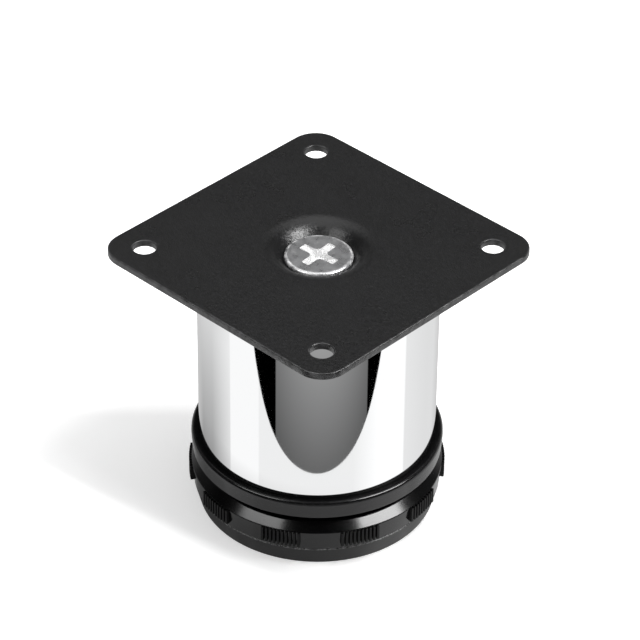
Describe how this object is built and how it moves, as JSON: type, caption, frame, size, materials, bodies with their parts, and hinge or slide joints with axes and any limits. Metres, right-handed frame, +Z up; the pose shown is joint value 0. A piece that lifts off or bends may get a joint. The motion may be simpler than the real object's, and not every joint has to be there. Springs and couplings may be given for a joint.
{
  "type": "furniture leg",
  "caption": "Short round adjustable furniture leg: chrome tube, square black mounting plate with corner holes, black collar and screw-out foot with grip lugs.",
  "frame": {"origin": "on the floor, under the middle of the tube and of the plate", "axes": "+Z up along the tube, out of the plate's upper face; +X and +Y along the plate's sides"},
  "size_m": [0.064, 0.064, 0.0625],
  "materials": {
    "plate_black": "fine-textured powder coat, semi-matte",
    "zinc": "bright zinc plating, lightly mottled",
    "chrome": "mirror",
    "collar_black": "semi-gloss moulded",
    "foot_black": "gloss moulded",
    "glide_black": "matte moulded",
    "plug_black": "matte moulded"
  },
  "bodies": {
    "leg": {"mounting_plate": "plate_black", "plate_screw": "zinc", "plate_nut": "zinc", "top_plug": "plug_black", "leg_tube": "chrome", "foot_socket": "collar_black"},
    "glide": {"floor_glide": "glide_black"},
    "ring": {"adjuster": "foot_black"}
  },
  "joints": [
    {"name": "foot_travel", "type": "slide", "parent": "leg", "child": "glide", "axis": [0, 0, -1], "range_m": [0, 0.015]},
    {"name": "ring_turn", "type": "hinge", "parent": "glide", "child": "ring", "pos_m": [0, 0, 0.007], "axis": [0, 0, -1], "range_deg": [0, 1350]}
  ],
  "couplings": [
    {"joint": "foot_travel", "follows": "ring_turn", "m_per_rad": 0.00063662}
  ]
}
